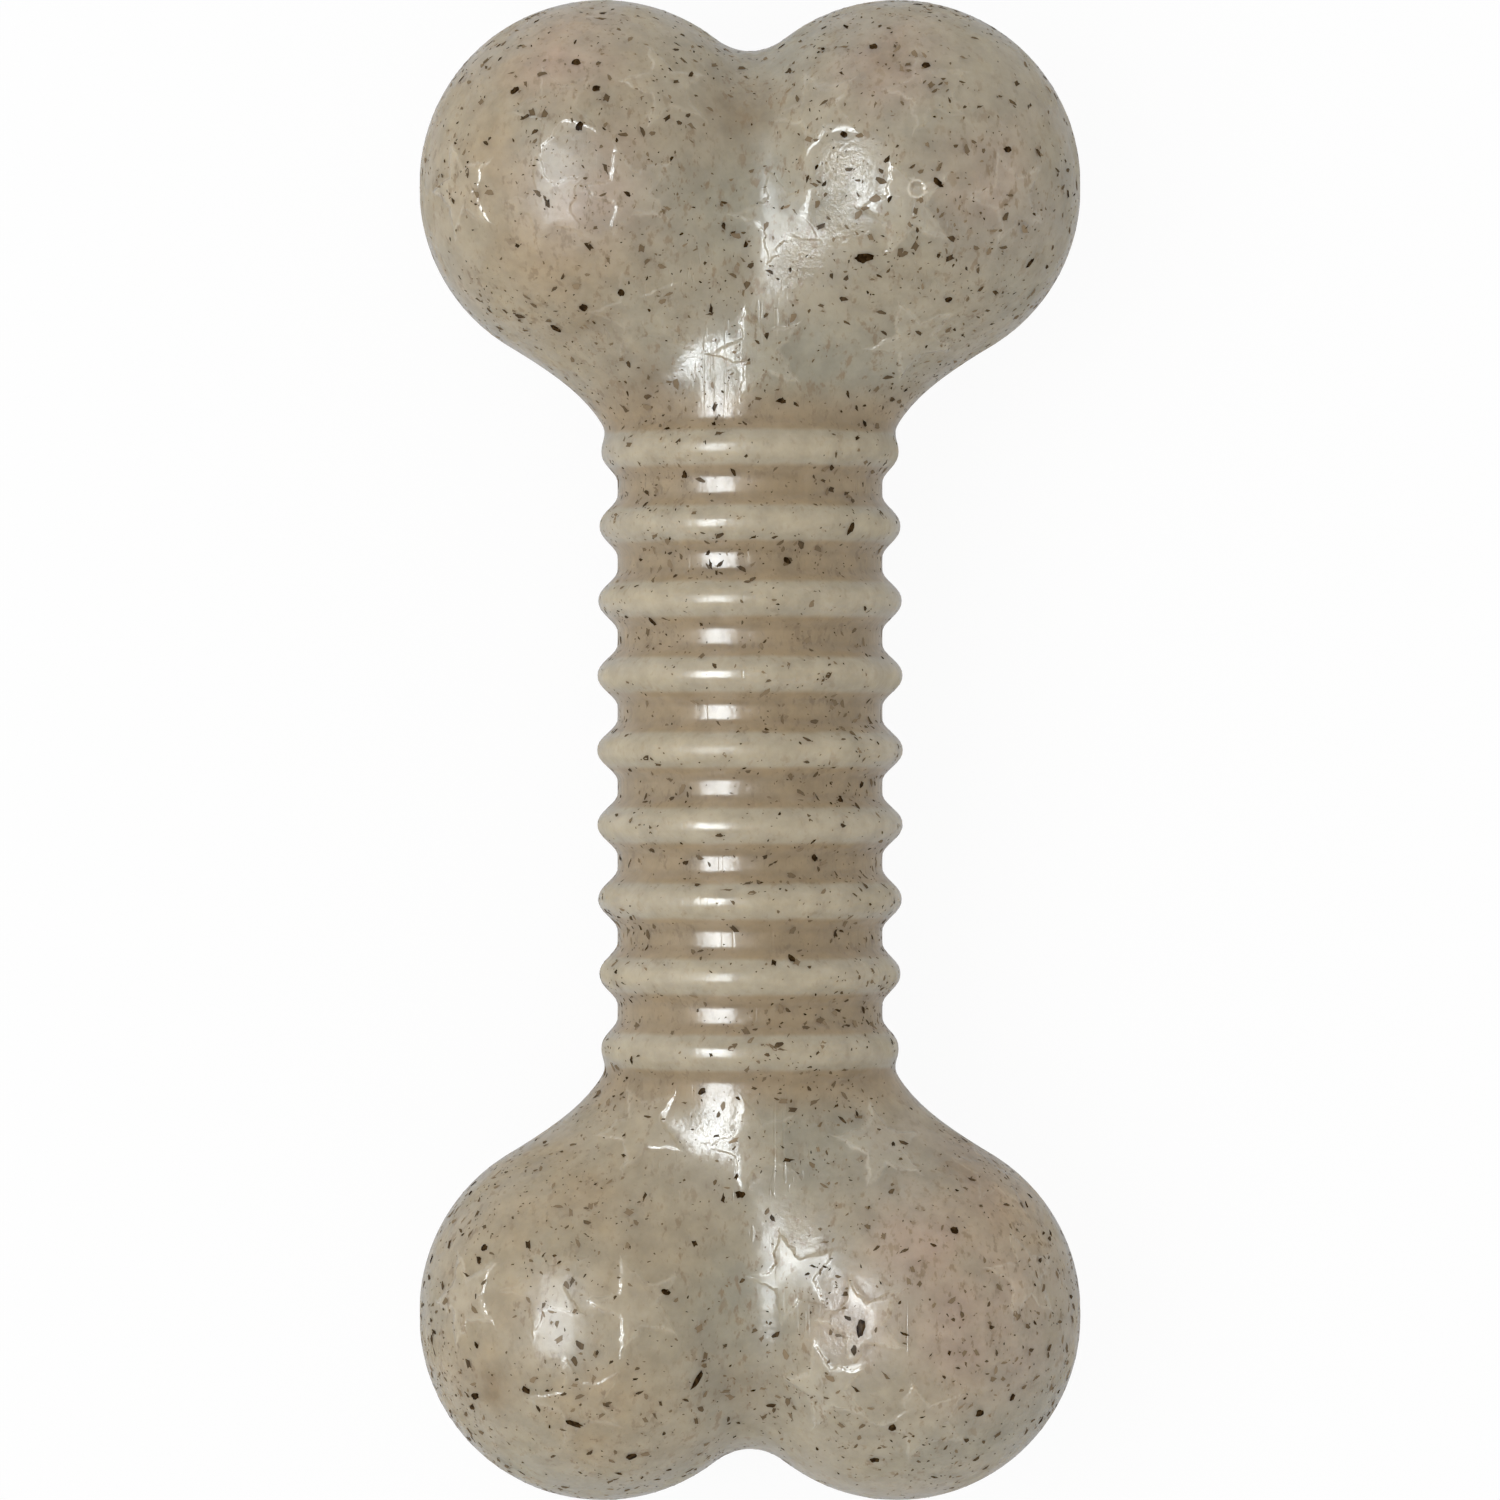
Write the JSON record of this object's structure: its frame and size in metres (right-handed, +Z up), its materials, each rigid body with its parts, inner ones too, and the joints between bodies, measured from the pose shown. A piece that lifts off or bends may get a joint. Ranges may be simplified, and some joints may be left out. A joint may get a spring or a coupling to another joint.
{
  "type": "bone-shaped dog chew toy",
  "caption": "Bone-shaped dog chew of solid nylon with round knobs at both ends, a ribbed round shaft and bark chips set flush in its skin.",
  "frame": {"origin": "on the floor, under the middle of the shaft, in the plane of the four flats that the bone rests on", "axes": "+Y along the bone, +X across the two knobs of an end, +Z up through the bone's thickness as it lies"},
  "size_m": [0.0794, 0.18, 0.0437],
  "materials": {
    "nylon": "translucent moulded nylon, glossy, with fine scratches",
    "bark": "dark brown bark chips, ground flush with the skin"
  },
  "bodies": {
    "root": {"nylon_bone": "nylon", "bark_chip_01": "bark", "bark_chip_02": "bark", "bark_chip_03": "bark", "bark_chip_04": "bark", "bark_chip_05": "bark", "bark_chip_06": "bark", "bark_chip_07": "bark", "bark_chip_08": "bark", "bark_chip_09": "bark", "bark_chip_10": "bark", "bark_chip_11": "bark", "bark_chip_12": "bark", "bark_chip_13": "bark", "bark_chip_14": "bark", "bark_chip_15": "bark", "bark_chip_16": "bark", "bark_chip_17": "bark", "bark_chip_18": "bark", "bark_chip_19": "bark", "bark_chip_20": "bark", "bark_chip_21": "bark", "bark_chip_22": "bark", "bark_chip_23": "bark", "bark_chip_24": "bark", "bark_chip_25": "bark", "bark_chip_26": "bark", "bark_chip_27": "bark", "bark_chip_28": "bark", "bark_chip_29": "bark", "bark_chip_30": "bark", "bark_chip_31": "bark", "bark_chip_32": "bark", "bark_chip_33": "bark", "bark_chip_34": "bark", "bark_chip_35": "bark", "bark_chip_36": "bark", "bark_chip_37": "bark", "bark_chip_38": "bark", "bark_chip_39": "bark", "bark_chip_40": "bark", "bark_chip_41": "bark", "bark_chip_42": "bark", "bark_chip_43": "bark", "bark_chip_44": "bark", "bark_chip_45": "bark", "bark_chip_46": "bark", "bark_chip_47": "bark", "bark_chip_48": "bark", "bark_chip_49": "bark", "bark_chip_50": "bark", "bark_chip_51": "bark"}
  },
  "joints": []
}
